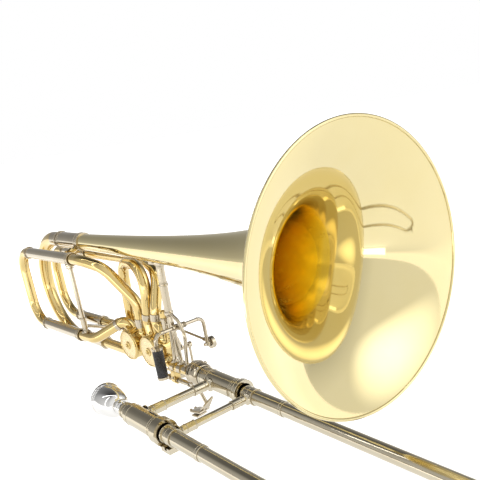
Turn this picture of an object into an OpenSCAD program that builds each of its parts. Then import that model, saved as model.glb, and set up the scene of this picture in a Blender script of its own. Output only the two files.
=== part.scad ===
// Bass trombone with two in-line rotary valves, hand slide closed.
// +X runs along the neckpipe towards the bell mouth and +Z runs from the neckpipe up to the bell axis.
// The origin is on the neckpipe axis, at the middle of the left-hand grip.
// The mouthpiece side of the hand slide is on -Y. The hand slide drops a few degrees from the neckpipe.

/* [Bell] */
// Outer radius of the bell at its rim
bell_r = 127; // [120:0.5:133.5]
// Bell rim plane, along X from the grip
bell_x = 316.5; // [300:0.5:330]
// Height of the bell axis above the neckpipe axis
bell_z = 155.5; // [150:0.5:162]
// Bell metal thickness
bell_wall = 0.9; // [0.6:0.1:1.4]

/* [Hand slide] */
// Distance between the two hand slide tubes
slide_w = 107; // [100:0.5:112]
// Angle between the hand slide and the neckpipe
slide_drop = 3; // [0:0.5:4]
// Length of the outer slide tubes
outer_len = 649; // [620:1:660]
// Outer radius of the outer slide tubes
outer_r = 7.8; // [7.5:0.1:8]
// Outer radius of the cork barrels
barrel_r = 12; // [11.5:0.1:12.5]

/* [Valves] */
// Radius of a rotor casing
casing_r = 20.5; // [20:0.1:21]
// Half length of a rotor casing along Y
casing_half = 15.5; // [15:0.5:16.5]
// Outer radius of the valve tubing
tube_r = 7.5; // [7:0.1:7.8]

/* [Triggers] */
// Radius of the black finger roller
roller_r = 6.6; // [5.5:0.1:7]
// Length of the black finger roller
roller_len = 35; // [30:1:38]

/* [Hidden] */
$fn = 48;
wall = 0.8;
fit = 0.05;
lap = 0.3;
step = 0.03;

brass = [0.85, 0.66, 0.30];
nickel = [0.72, 0.69, 0.62];
silver = [0.86, 0.86, 0.86];
black = [0.08, 0.07, 0.07];

// Bell horn: the outer radius falls as a power of the distance behind the rim.
horn_lead = 35;
horn_power = 0.859;
rim_wire_r = 1.5;
tail_x = -219;
tail_len = bell_x - tail_x;
horn_steps = 56;
function horn_r(d) = (bell_r - 1.3) * pow(horn_lead / (d + horn_lead), horn_power);
function horn_d(i) = tail_len * pow(i / horn_steps, 2.2);

// Main tuning slide: a wide crook that tapers from the bell side to the valve side.
main_leg_r = 12;
main_low_r = 9;
main_front = -227;
main_back = -296;
crook_x = -319;
crook_R = bell_z / 2;
crook_big = main_leg_r - wall - 2 * fit - 0.1;
crook_small = main_low_r - wall - 2 * fit - 0.1;

// Rotor centres and the four ports of each rotor, 45 degrees off the axes.
rotor_z = 21;
rotor_x = [-61, -115];
knuckle_at = 15.2;
knuckle_r = 8.3;
socket = 2.6;
rotor_r = casing_r - 2;
arm_reach = 12;
arm_y = [24, 27];
bearing_end = casing_half + 4;
cap_end = casing_half + 3.5;

// Tuning legs: near ones on -Y, far ones on +Y.
near_y = -35;
near_low = 25;
near_high = 141;
near_back = -347;
near_bend = 34;
near_crook_x = -387;
far_y = 31;
far_low = 14;
far_high = 126.5;
far_front = -287;
far_back = -372;
far_bend = 40;
far_crook_x = -424;
near_front_low = -222;
near_front_high = -192;
leg_r = 8.2;
inner_leg_r = leg_r - wall - fit;

// Second-valve trigger: a bent wire that hinges about Y.
wire_r = 2.4;
wire_x = -8;
wire_z = 57;
roller_y = -32;
roller_top = 38;
crank_y = 39;
crank_z = 21;
rod_y = [38, 42];

// First-valve thumb lever: a shaft along X below the neckpipe.
shaft_z = -19.5;
shaft_r = 2.2;
shaft_back = -56;
shaft_front = 15;
thumb_arm_x = -52.5;
thumb_ball_y = 31.4;
thumb_ball_z = shaft_z - 8.5;

// Hand slide stations, along the slide axis from its joint with the neckpipe.
joint_x = 43;
plug_back = -28;
barrel_back = -7;
barrel_front = 58;
outer_start = 50;
bow_x = outer_start + outer_len;
inner_brace_x = 14.6;
outer_brace_x = 81.5;
receiver_x = -13;
rim_x = -62;
inner_r = outer_r - 0.65 - fit;
sleeve_r = outer_r + 0.7;
sleeve_len = 88;
key_x = bow_x + slide_w / 2 + 5.5;
key_z = outer_r + 2.5;

// ---- shared shapes ----

function unit(v) = v / norm(v);
function turn(a, b) = acos(max(-1, min(1, unit(a) * unit(b))));

// Points the child's Z axis along d.
module aim(d) {
  rotate([0, acos(d[2] / norm(d)), atan2(d[1], d[0])]) children();
}

// A straight tube from a to b. An inner radius of 0 makes it solid.
module pipe(a, b, ro, ri = 0) {
  translate(a) aim(b - a) linear_extrude(norm(b - a)) difference() {
    circle(ro);
    if (ri > 0) circle(ri);
  }
}

// A round bend of radius R at the corner q of the route p, q, s.
module elbow(p, q, s, R, ro, ri = 0) {
  u = unit(q - p);
  v = unit(s - q);
  a = turn(u, v);
  n = unit(v - (u * v) * u);
  w = cross(-n, u);
  c = q - u * R * tan(a / 2) + n * R;
  multmatrix([
    [-n[0], u[0], w[0], c[0]],
    [-n[1], u[1], w[1], c[1]],
    [-n[2], u[2], w[2], c[2]]
  ]) rotate_extrude(angle = a) translate([R, 0]) difference() {
    circle(ro);
    if (ri > 0) circle(ri);
  }
}

// Length that a bend of radius R takes from each side of corner i.
function cut(P, R, i) =
  i <= 0 || i >= len(P) - 1 ? 0 : R[i - 1] * tan(turn(P[i] - P[i - 1], P[i + 1] - P[i]) / 2);

// A bent tube through the points P, with one bend radius in R for each inner point.
// The straight pieces are a hair thinner than the bends and run a little way into them.
module route(P, R, ro, ri = 0) {
  last = len(P) - 2;
  for (i = [0 : last]) {
    u = unit(P[i + 1] - P[i]);
    a = P[i] + u * (i == 0 ? 0 : cut(P, R, i) - lap);
    b = P[i + 1] - u * (i == last ? 0 : cut(P, R, i + 1) - lap);
    pipe(a, b, ro - step, ri > 0 ? ri + step : 0);
  }
  for (i = [1 : last]) elbow(P[i - 1], P[i], P[i + 1], R[i - 1], ro, ri);
}

// A ring around the X axis at height z and side y.
module ring_x(x0, x1, y, z, ro, ri) {
  pipe([x0, y, z], [x1, y, z], ro, ri);
}

// A solid round bar along Y.
module bar_y(x, y0, y1, z, r) {
  pipe([x, y0, z], [x, y1, z], r);
}

// Moves children into the hand slide's own frame, where +X is the slide axis.
module slide_frame() {
  translate([joint_x, 0, 0]) rotate([0, slide_drop, 0]) children();
}

// Knuckle centre at one port of rotor k: side is +1 in front, -1 behind; up is +1 or -1.
function knuckle(k, side, up) = [rotor_x[k] + side * knuckle_at, 0, rotor_z + up * knuckle_at];

// Routes of the valve tubing; each starts at a knuckle.
near_upper_route = [knuckle(1, 1, 1), [-97, 0, 78], [-127, -22, 130], [-160, near_y, near_high],
  [near_front_high, near_y, near_high]];
near_lower_route = [knuckle(1, -1, 1), [-132, -5, 51], [-178, near_y + 1, near_low + 1],
  [near_front_low, near_y, near_low]];
far_rise_route = [knuckle(0, -1, 1), [-79, 0, 54], [-68, 0, 90], [-67, 1, 130], [-137, 10, 130],
  [-150, 11, 15], [-214, far_y, far_low], [far_front, far_y, far_low]];
far_fall_route = [knuckle(0, 1, 1), [-43.5, 0, 46], [-56, 0, 54], [-53, 1, 76], [-58, 17, 118],
  [-112, far_y, far_high], [far_front, far_y, far_high]];

// A route without the first length d, which stays open inside a knuckle.
function trim(P, d) = [for (i = [0 : len(P) - 1]) i == 0 ? P[0] + d * unit(P[1] - P[0]) : P[i]];

// ---- bell section ----

module bell() {
  color(brass) translate([bell_x, 0, bell_z]) rotate([0, -90, 0]) rotate_extrude($fn = 96) polygon(concat(
    [for (i = [0 : horn_steps]) [horn_r(horn_d(i)), horn_d(i)]],
    [for (i = [horn_steps : -1 : 0]) [horn_r(horn_d(i)) - bell_wall, horn_d(i)]]
  ));
}

// The bell's outer shape as a solid, for cutting saddles.
module horn_solid() {
  translate([bell_x, 0, bell_z]) rotate([0, -90, 0]) rotate_extrude($fn = 96) polygon(concat(
    [[0, 0]],
    [for (i = [0 : horn_steps]) [horn_r(horn_d(i)), horn_d(i)]],
    [[0, tail_len]]
  ));
}

module rim_wire() {
  color(brass) translate([bell_x, 0, bell_z]) rotate([0, -90, 0]) rotate_extrude($fn = 96)
    translate([bell_r - rim_wire_r, 0]) circle(rim_wire_r, $fn = 24);
}

module bell_tail_ferrule() {
  color(nickel) ring_x(tail_x - 8, tail_x + 3, 0, bell_z, 13, horn_r(tail_len - 3));
}

module main_upper_leg() {
  color(nickel) {
    ring_x(main_back + 4, main_front, 0, bell_z, main_leg_r, main_leg_r - wall);
    ring_x(main_back, main_back + 4, 0, bell_z, 13, main_leg_r - wall);
  }
}

module main_lower_leg() {
  color(nickel) {
    ring_x(main_back + 4, main_front, 0, 0, main_low_r, main_low_r - wall);
    ring_x(main_back, main_back + 4, 0, 0, main_low_r + 0.9, main_low_r - wall);
    ring_x(main_front, main_front + 4, 0, 0, main_low_r + 0.8, tube_r);
  }
}

module rear_branch() {
  color(brass) route(trim([knuckle(1, -1, -1), [-146, 0, 0], [main_front, 0, 0]], socket), [20],
    tube_r, tube_r - wall);
}

module neckpipe() {
  color(brass) route(trim([knuckle(0, 1, -1), [-38, 0, 0], [13, 0, 0]], socket), [14],
    tube_r, tube_r - wall);
}

module slide_receiver() {
  color(nickel) difference() {
    slide_frame() {
      ring_x(plug_back - 2, barrel_back - 1, 0, 0, 11.4, 8.05);
      ring_x(plug_back - 4, plug_back - 2, 0, 0, 11.2, tube_r - 2);
    }
    pipe([0, 0, 0], [13, 0, 0], tube_r);
  }
}

// Casing of rotor k with a rounded knuckle at each of its four ports.
// ways holds, for each port, the direction in which its tube leaves.
module casing(k, ways) {
  difference() {
    union() {
      translate([rotor_x[k], 0, rotor_z]) rotate([90, 0, 0])
        cylinder(h = 2 * casing_half, r = casing_r, center = true, $fn = 72);
      for (w = ways) translate(knuckle(k, w[0], w[1])) sphere(knuckle_r);
    }
    translate([rotor_x[k], 0, rotor_z]) rotate([90, 0, 0])
      cylinder(h = 2 * casing_half + 1, r = rotor_r + fit, center = true, $fn = 72);
    for (w = ways) {
      q = knuckle(k, w[0], w[1]);
      pipe([rotor_x[k] + 6 * w[0], 0, rotor_z + 6 * w[1]], q, tube_r - wall);
      pipe(q - 2 * unit(w[2]), q + 13 * unit(w[2]), tube_r - wall);
      pipe(q + socket * unit(w[2]), q + 14 * unit(w[2]), tube_r);
    }
  }
}

ways_1 = [
  [1, -1, [-38, 0, 0] - knuckle(0, 1, -1)],
  [-1, -1, [-1, 0, 0]],
  [-1, 1, far_rise_route[1] - knuckle(0, -1, 1)],
  [1, 1, far_fall_route[1] - knuckle(0, 1, 1)]
];

module casing_1() {
  color(brass) casing(0, ways_1);
}

ways_2 = [
  [1, -1, [1, 0, 0]],
  [-1, -1, [-146, 0, 0] - knuckle(1, -1, -1)],
  [1, 1, near_upper_route[1] - knuckle(1, 1, 1)],
  [-1, 1, near_lower_route[1] - knuckle(1, -1, 1)]
];

module casing_2() {
  color(brass) casing(1, ways_2);
}

// Threaded cap with a raised lip and a centre screw.
module cap(k) {
  translate([rotor_x[k], -casing_half, rotor_z]) rotate([90, 0, 0]) {
    cylinder(h = 1.2, r = casing_r + 0.8, $fn = 72);
    cylinder(h = cap_end - casing_half, r = casing_r - 0.2, $fn = 72);
    cylinder(h = cap_end - casing_half + 1.4, r = 4.2);
    cylinder(h = cap_end - casing_half + 2.6, r = 2.4);
  }
}

module cap_1() {
  color(brass) cap(0);
}

module cap_2() {
  color(brass) cap(1);
}

// Bearing plate at the linkage end, bored for the rotor spindle.
module bearing(k) {
  translate([rotor_x[k], casing_half, rotor_z]) rotate([-90, 0, 0]) difference() {
    union() {
      cylinder(h = 2.5, r = casing_r + 0.6, $fn = 72);
      cylinder(h = bearing_end - casing_half, r = 8);
    }
    translate([0, 0, -1]) cylinder(h = 8, r = 4 + fit);
  }
}

module bearing_1() {
  color(nickel) bearing(0);
}

module bearing_2() {
  color(nickel) bearing(1);
}

module valve_link() {
  color(brass) route([knuckle(0, -1, -1) - [socket, 0, 0], knuckle(1, 1, -1) + [socket, 0, 0]], [],
    tube_r, tube_r - wall);
}

module near_upper_tube() {
  color(brass) route(trim(near_upper_route, socket), [30, 40, 40], tube_r, tube_r - wall);
}

module near_lower_tube() {
  color(brass) route(trim(near_lower_route, socket), [9, 30], tube_r, tube_r - wall);
}

module far_rise_tube() {
  color(brass) route(trim(far_rise_route, socket), [20, 40, 28, 28, 22, 40], tube_r, tube_r - wall);
  color(brass) bar_y(-140.5, 0.5, 5.5, 104, 4.5);
}

module far_fall_tube() {
  color(brass) route(trim(far_fall_route, socket), [7.6, 7.6, 40, 30, 40], tube_r, tube_r - wall);
}

// A pair of outer legs with a bead at the open end and a ferrule at the tube end.
module leg_pair(y, low, high, front_low, front_high, back) {
  for (leg = [[low, front_low], [high, front_high]]) {
    ring_x(back + 3, leg[1], y, leg[0], leg_r, leg_r - wall);
    ring_x(back, back + 3, y, leg[0], leg_r + 0.9, leg_r - wall);
    ring_x(leg[1] - 3, leg[1] + 3, y, leg[0], leg_r + 0.8, leg_r);
  }
}

module near_legs() {
  color(nickel) leg_pair(near_y, near_low, near_high, near_front_low, near_front_high, near_back);
}

module far_legs() {
  color(nickel) leg_pair(far_y, far_low, far_high, far_front, far_front, far_back);
}

// Sleeves that cover the joints of the valve tubing.
module sleeve_on(a, b, t0, t1) {
  u = unit(b - a);
  pipe(a + u * t0, a + u * t1, tube_r + 0.9, tube_r);
}

module valve_ferrules() {
  color(nickel) {
    sleeve_on(near_upper_route[0], near_upper_route[1], 8.4, 20);
    sleeve_on(far_rise_route[1], far_rise_route[2], 5, 13);
    sleeve_on(far_fall_route[2], far_fall_route[3], 6, 15);
    sleeve_on(near_lower_route[1], near_lower_route[2], 12, 17);
    ring_x(-91, -85, 0, rotor_z - knuckle_at, tube_r + 0.9, tube_r);
  }
}

brace_top = [-17, 0, bell_z];
brace_fork = [-20, 0, 74];

module bell_brace() {
  color(nickel) difference() {
    union() {
      pipe(brace_fork, brace_top, 5);
      pipe([-18.4, 0, 109], [-18.5, 0, 112], 5.8);
      translate([brace_top[0], 0, bell_z]) rotate([0, 90, 0])
        cylinder(h = 26, r = 19, center = true, $fn = 72);
      translate(brace_fork) sphere(6);
    }
    horn_solid();
    translate([brace_top[0] - 20, -30, bell_z - 14]) cube([40, 60, 60]);
    for (s = [-1, 1]) translate([brace_top[0] - 20, s * 22 - 14, bell_z - 30]) cube([40, 28, 60]);
  }
}

module brace_posts() {
  color(nickel) difference() {
    union() {
      pipe([-21, 0, 72], [-31, 0, 0], 3.1);
      pipe([-19, 0, 72], [-14.5, 0, 0], 3.1);
      for (x = [-30, -14.5]) ring_x(x - 4, x + 4, 0, 0, tube_r + 1.2, tube_r);
    }
    ring_x(-60, 10, 0, 0, tube_r, 0);
    translate([-60, -20, -22]) cube([80, 40, 20.1]);
  }
}

guard_route = [[-16, 0, 73], [-2, 0, 66], [7, 0, 48], [2, 0, 28], [-2, 0, 7.7]];

module hand_guard() {
  color(nickel) {
    route(guard_route, [14, 16, 20], 2.3);
    difference() {
      union() {
        bar_y(wire_x, -7, 7, wire_z, 4.3);
        pipe([wire_x, 0, wire_z], [2, 0, 57], 2);
      }
      bar_y(wire_x, -8, 8, wire_z, wire_r + fit);
    }
    difference() {
      ring_x(-6, 2, 0, 0, tube_r + 1.1, tube_r);
      translate([-10, -20, -20]) cube([20, 40, 22]);
    }
  }
}

rear_x = -204;

module rear_brace() {
  color(nickel) {
    difference() {
      union() {
        pipe([rear_x, near_y, near_high], [rear_x, near_y, near_low], 3.3);
        pipe([rear_x, near_y, 38], [rear_x, near_y, 54], 4.6);
        pipe([rear_x, near_y, near_high - 14], [rear_x, near_y, near_high - 6], 5);
        pipe([rear_x, near_y, 42], [rear_x, far_y - 4, far_low + 2], 2.6);
      }
      ring_x(rear_x - 20, rear_x + 20, near_y, near_high, leg_r, 0);
      pipe(near_lower_route[2], near_lower_route[3], tube_r);
      pipe(far_rise_route[5], far_rise_route[6], tube_r);
    }
  }
}

module leg_link() {
  color(brass) difference() {
    union() {
      pipe([rear_x - 10, near_y, near_high], [rear_x - 24, 0, bell_z - 2], 3.6);
      pipe([rear_x - 14.5, -24, near_high + 5], [rear_x - 16, -20, near_high + 7], 4.6);
    }
    ring_x(-260, -180, near_y, near_high, leg_r, 0);
    ring_x(-260, -180, 0, bell_z, 13, 0);
  }
}

// Bracket under the neckpipe that carries the thumb shaft.
module shaft_bracket() {
  color(brass) difference() {
    union() {
      translate([-41, -4.5, shaft_z - 1]) cube([8, 9, 18]);
      ring_x(-41, -33, 0, shaft_z, 5.2, 0);
      ring_x(-43, -31, 0, 0, tube_r + 1.4, tube_r);
    }
    ring_x(-60, 0, 0, 0, tube_r, 0);
    ring_x(-60, 0, 0, shaft_z, shaft_r + fit, 0);
    translate([-50, -20, -2]) cube([30, 40, 30]);
  }
}

// Cork stops beside each rotor spindle.
module rotor_bumpers() {
  color(black) for (k = [0, 1], s = [-1, 1])
    bar_y(rotor_x[k] + s * 13.5, casing_half + 2.5, casing_half + 7, rotor_z - 4, 2.6);
}

knob_x = -34.4;

module stop_barrel() {
  color(nickel) difference() {
    union() {
      pipe([knob_x, 0, 51], [knob_x, 0, 65], 4.7);
      pipe([knob_x, 0, 58], [-23, 0, 58], 2.2);
    }
    pipe([-20.6, 0, 75], [-32, 0, -7.2], 3.1);
  }
}

module stop_knob() {
  color(brass) {
    pipe([knob_x, 0, 65], [knob_x, 0, 67], 3);
    difference() {
      pipe([knob_x, 0, 67], [knob_x, 0, 75], 5.2);
      for (a = [0 : 60 : 179]) translate([knob_x, 0, 74]) rotate([0, 0, a]) cube([12, 1.4, 3], center = true);
    }
  }
}

// ---- main tuning slide ----

crook_sides = 28;
crook_turns = 30;
function crook_a(i) = 180 * i / crook_turns;
function crook_at(i) = [crook_x - crook_R * sin(crook_a(i)), crook_R + crook_R * cos(crook_a(i))];
function crook_r(i) = crook_big + (crook_small - crook_big) * i / crook_turns;
function crook_ring(i, r) = [for (j = [0 : crook_sides - 1])
  let (t = 360 * j / crook_sides, c = crook_at(i), a = crook_a(i))
  [c[0] - r * cos(t) * sin(a), r * sin(t), c[1] + r * cos(t) * cos(a)]];

// Triangles between two rings of n points; in = 1 turns them to face inwards.
function band(base, n, in) = [for (i = [0 : crook_turns - 1], j = [0 : n - 1], k = [0, 1])
  let (a = base + i * n + j, b = base + i * n + (j + 1) % n, c = a + n, d = b + n)
  k == in ? (in == 0 ? [a, b, d] : [a, d, b]) : (in == 0 ? [a, d, c] : [a, c, d])];

module main_crook() {
  n = crook_sides;
  last = crook_turns;
  all = (last + 1) * n;
  outer = [for (i = [0 : last]) each crook_ring(i, crook_r(i))];
  inner = [for (i = [0 : last]) each crook_ring(i, crook_r(i) - wall)];
  front = [for (j = [0 : n - 1], k = [0, 1]) let (m = (j + 1) % n)
    k == 0 ? [j, all + j, all + m] : [j, all + m, m]];
  back = [for (j = [0 : n - 1], k = [0, 1]) let (m = (j + 1) % n, e = last * n)
    k == 0 ? [e + j, all + e + m, all + e + j] : [e + j, e + m, all + e + m]];
  color(brass) polyhedron(concat(outer, inner), concat(band(0, n, 0), band(all, n, 1), front, back));
}

module main_inner_legs() {
  color(nickel) {
    ring_x(crook_x, main_front - 6, 0, bell_z, main_leg_r - wall - fit, main_leg_r - 2 * wall);
    ring_x(crook_x, main_front - 6, 0, 0, main_low_r - wall - fit, main_low_r - 2 * wall);
  }
}

// ---- valve tuning slides ----

module crook_u(y, low, high, back, R, x0) {
  route([[x0, y, high], [back, y, high], [back, y, low], [x0, y, low]], [R, R], inner_leg_r, inner_leg_r - wall);
}

module near_crook() {
  color(brass) crook_u(near_y, near_low, near_high, near_crook_x, near_bend, near_back);
}

module far_crook() {
  color(brass) crook_u(far_y, far_low, far_high, far_crook_x, far_bend, far_back);
}

module near_inner_legs() {
  color(nickel) for (z = [near_low, near_high])
    ring_x(near_back, near_front_low - 6, near_y, z, inner_leg_r, inner_leg_r - wall);
}

module far_inner_legs() {
  color(nickel) for (z = [far_low, far_high])
    ring_x(far_back, far_front - 6, far_y, z, inner_leg_r, inner_leg_r - wall);
}

// ---- rotors ----

// Rotor with two quarter-turn passages, a spindle and a stop arm; pin_a is the drive pin's angle.
module rotor(k, pin_a, pin_end) {
  translate([rotor_x[k], 0, rotor_z]) {
    difference() {
      rotate([90, 0, 0]) cylinder(h = 2 * casing_half - 0.2, r = rotor_r, center = true, $fn = 72);
      for (s = [-1, 1]) translate([0, 0, s * rotor_r * sqrt(2)])
        rotate([90, 0, 0]) rotate_extrude($fn = 72) translate([rotor_r, 0]) circle(tube_r - wall - 0.6);
    }
    bar_y(0, casing_half - 0.2, arm_y[1], 0, 4);
    rotate([0, -pin_a, 0]) {
      difference() {
        hull() {
          bar_y(0, arm_y[0], arm_y[1], 0, 5.5);
          bar_y(arm_reach, arm_y[0], arm_y[1], 0, 3.4);
        }
        bar_y(0, arm_y[0] - 1, arm_y[1] + 1, 0, 4);
      }
      bar_y(arm_reach, arm_y[1], pin_end, 0, 1.6);
    }
  }
}

module rotor_1() {
  color(nickel) rotor(0, -45, 38.5);
}

module rotor_2() {
  color(nickel) rotor(1, 45, 41.45);
}

// ---- second-valve trigger ----

module trigger_wire() {
  roller_low = roller_top - roller_len;
  color(nickel) {
    route([[wire_x - 2, roller_y, roller_top + 3], [wire_x, roller_y, wire_z],
      [wire_x, crank_y, wire_z], [wire_x, crank_y, crank_z + 3]], [9, 9], wire_r);
    translate([wire_x, crank_y + 0.8, crank_z]) sphere(4);
    bar_y(wire_x, crank_y - 5, crank_y - 0.8, crank_z, 2);
    pipe([wire_x - 2, roller_y, roller_low - 3.2], [wire_x - 2, roller_y, roller_top + 3.2], 2.2);
    pipe([wire_x - 2, roller_y, roller_top + 0.1], [wire_x - 2, roller_y, roller_top + 3.2], roller_r + 0.4);
    pipe([wire_x - 2, roller_y, roller_low - 3.2], [wire_x - 2, roller_y, roller_low - 0.1], roller_r + 0.4);
  }
}

module trigger_roller() {
  color(black) difference() {
    pipe([wire_x - 2, roller_y, roller_top - roller_len], [wire_x - 2, roller_y, roller_top], roller_r);
    pipe([wire_x - 2, roller_y, -10], [wire_x - 2, roller_y, roller_top + 5], 2.2 + fit);
  }
}

rod_far = [rotor_x[1] + arm_reach * cos(45), 0, rotor_z + arm_reach * sin(45)];

module trigger_rod() {
  rod_mid = (rod_y[0] + rod_y[1]) / 2 + 5;
  far = [rod_far[0], rod_mid, rod_far[2]];
  near = [wire_x - 7.5, rod_mid, crank_z + 0.6];
  color(nickel) {
    pipe(near, far + 4 * unit(near - far), 1.7);
    pipe(near, near + 9 * unit(far - near), 2.7);
    pipe(far + 4 * unit(near - far), far + 14 * unit(near - far), 2.7);
    bar_y(far[0], rod_mid - 3.5, rod_mid + 3, far[2], 4.4);
    difference() {
      bar_y(wire_x, rod_mid - 2.5, rod_mid + 2.5, crank_z, 8);
      translate([wire_x, crank_y + 0.8, crank_z]) sphere(4.1);
      bar_y(wire_x, rod_mid - 3, rod_mid + 3, crank_z, 4.6);
    }
  }
}

// ---- first-valve thumb lever ----

module thumb_shaft() {
  color(nickel) {
    ring_x(shaft_back, shaft_front, 0, shaft_z, shaft_r, 0);
    ring_x(-32.8, -29.8, 0, shaft_z, 3.8, shaft_r);
    ring_x(-18, -6, 0, shaft_z, 3.4, shaft_r);
    hull() {
      ring_x(thumb_arm_x - 2.5, thumb_arm_x + 2.5, 0, shaft_z, 4, 0);
      ring_x(thumb_arm_x - 1.5, thumb_arm_x + 1.5, thumb_ball_y, thumb_ball_z, 2.6, 0);
    }
    translate([thumb_arm_x, thumb_ball_y, thumb_ball_z]) sphere(3.4);
  }
}

// Folded finger plate: a stem down, a cross plate and two stacked pads.
module thumb_paddle() {
  color(nickel) {
    route([[shaft_front, 0, shaft_z], [shaft_front + 2, 0, shaft_z - 7], [shaft_front + 11, 0, shaft_z - 20],
      [shaft_front + 1, -3, shaft_z - 29]], [3, 4], 2.4);
    hull() {
      translate([shaft_front + 12, -5, shaft_z - 20]) sphere(1.6, $fn = 24);
      translate([shaft_front + 12, 8, shaft_z - 14]) sphere(1.6, $fn = 24);
      translate([shaft_front + 8, 2, shaft_z - 26]) sphere(1.6, $fn = 24);
    }
    hull() {
      translate([shaft_front + 4, -9, shaft_z - 30]) sphere(1.5, $fn = 24);
      translate([shaft_front + 4, 5, shaft_z - 29]) sphere(1.5, $fn = 24);
      translate([shaft_front - 16, -9, shaft_z - 33]) sphere(1.5, $fn = 24);
      translate([shaft_front - 16, 3, shaft_z - 33]) sphere(1.5, $fn = 24);
    }
    hull() {
      translate([shaft_front - 1, -10, shaft_z - 36]) sphere(1.4, $fn = 24);
      translate([shaft_front - 1, 3, shaft_z - 35]) sphere(1.4, $fn = 24);
      translate([shaft_front - 12, -10, shaft_z - 37]) sphere(1.4, $fn = 24);
      translate([shaft_front - 12, 2, shaft_z - 37]) sphere(1.4, $fn = 24);
    }
    pipe([shaft_front - 3, -3, shaft_z - 31], [shaft_front - 4, -3, shaft_z - 36], 2.4);
    for (y = [-7, 0]) translate([shaft_front - 19, y, shaft_z - 33]) sphere(2.2);
  }
}

module thumb_rod() {
  pin_z = rotor_z - arm_reach * sin(45);
  y = 38;
  color(nickel) {
    pipe([thumb_arm_x, y, thumb_ball_z + 4], [thumb_arm_x, y, pin_z - 3], 1.7);
    pipe([thumb_arm_x, y, thumb_ball_z + 4], [thumb_arm_x, y, thumb_ball_z + 13], 2.7);
    bar_y(thumb_arm_x, y - 2, y + 2, thumb_ball_z, 5);
    difference() {
      bar_y(thumb_arm_x, y - 2.5, y + 2.5, pin_z, 4);
      bar_y(thumb_arm_x, y - 3, y + 1, pin_z, 1.6 + fit);
    }
  }
}

// ---- slide lock nut ----

module lock_nut() {
  color(nickel) slide_frame() {
    rotate([0, 90, 0]) rotate_extrude($fn = 72) polygon(concat(
      [[11.45, plug_back - 2], [13.4, plug_back - 2], [15.2, plug_back - 0.5], [15.5, plug_back + 2]],
      [[15.5, plug_back + 7]],
      [for (a = [0 : 15 : 90]) [12.6 + 2.6 * cos(a), plug_back + 9 + 10 * sin(a)]],
      [[12.6, barrel_back - 1.2], [11.45, barrel_back - 1.2]]
    ));
    for (a = [0 : 90 : 359]) rotate([a + 35, 0, 0]) pipe([plug_back + 5, 0, 15], [plug_back + 5, 0, 17], 2.2);
  }
}

// ---- hand slide, inner ----

module inner_tubes() {
  color(nickel) slide_frame() for (y = [0, -slide_w])
    ring_x(barrel_back + 11, bow_x - 6, y, 0, inner_r, inner_r - 0.55);
}

// Barrel over one inner tube: a plain shell with a back wall that holds the tube.
module barrel(y, back, front) {
  ring_x(back + 11, front, y, 0, barrel_r, barrel_r - 1.2);
  ring_x(back + 8, back + 14, y, 0, barrel_r, inner_r);
  ring_x(front, front + 2.5, y, 0, barrel_r + 1.2, barrel_r - 1.2);
}

module cork_barrels() {
  color(nickel) slide_frame() {
    barrel(0, barrel_back, barrel_front);
    ring_x(barrel_front + 2.5, barrel_front + 10, 0, 0, barrel_r + 2.2, barrel_r - 1.2);
    barrel(-slide_w, barrel_back, barrel_front);
    translate([receiver_x, -slide_w, 0]) rotate([0, 90, 0]) rotate_extrude($fn = 48) polygon([
      [6.3, 0], [8.6, 0], [9.4, 1.2], [9.4, 3], [8.8, 4], [9.2, 14], [barrel_r, 17], [6.3, 17]
    ]);
  }
}

// A cross brace between the two tubes at station x, with saddle cuts of radius cut_r.
module cross_brace(x, cut_r, end_r, mid_r, end_len) {
  difference() {
    union() {
      bar_y(x, -cut_r - end_len, -4, 0, end_r);
      bar_y(x, -slide_w + cut_r + end_len, -cut_r - end_len, 0, mid_r);
      bar_y(x, -slide_w + 4, -slide_w + cut_r + end_len, 0, end_r);
    }
    for (y = [0, -slide_w]) ring_x(x - 20, x + 20, y, 0, cut_r, 0);
  }
}

module inner_brace() {
  color(nickel) slide_frame() {
    cross_brace(inner_brace_x, barrel_r, 6, 5.1, 22);
    for (side = [[0, -1], [-slide_w, 1]]) intersection() {
      ring_x(barrel_back + 12, barrel_front - 6, side[0], 0, barrel_r + 1.3, barrel_r);
      translate([0, side[0] + side[1] * barrel_r - 5, -5]) cube([barrel_front, 10, 10]);
    }
  }
}

module slide_plug() {
  color(nickel) slide_frame() {
    ring_x(plug_back, barrel_back, 0, 0, 8, 6.8);
    ring_x(barrel_back, barrel_back + 3, 0, 0, barrel_r + 0.3, 6.8);
    rotate([0, 90, 0]) rotate_extrude($fn = 48)
      polygon([[6.8, barrel_back + 3], [barrel_r, barrel_back + 3], [barrel_r, barrel_back + 8],
        [6.8, barrel_back + 8]]);
  }
}

module lock_ring() {
  color(nickel) slide_frame() translate([0, -slide_w, 0]) {
    difference() {
      ring_x(barrel_front + 2.7, barrel_front + 13, 0, 0, barrel_r + 2.8, sleeve_r + 1.6);
      rotate([0, 90, 0]) translate([0, 0, barrel_front + 12]) cylinder(h = 2, r1 = sleeve_r + 1.8, r2 = 13);
    }
    difference() {
      translate([barrel_front + 8, -6, -19.5]) cube([16, 12, 6]);
      ring_x(barrel_front, barrel_front + 30, 0, 0, 13.5, 0);
      translate([barrel_front + 15, -8, -16.5]) cube([4, 16, 5]);
    }
    pipe([barrel_front + 12, 0, -19], [barrel_front + 12, 0, -22.5], 3.6);
  }
}

// ---- mouthpiece ----

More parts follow.
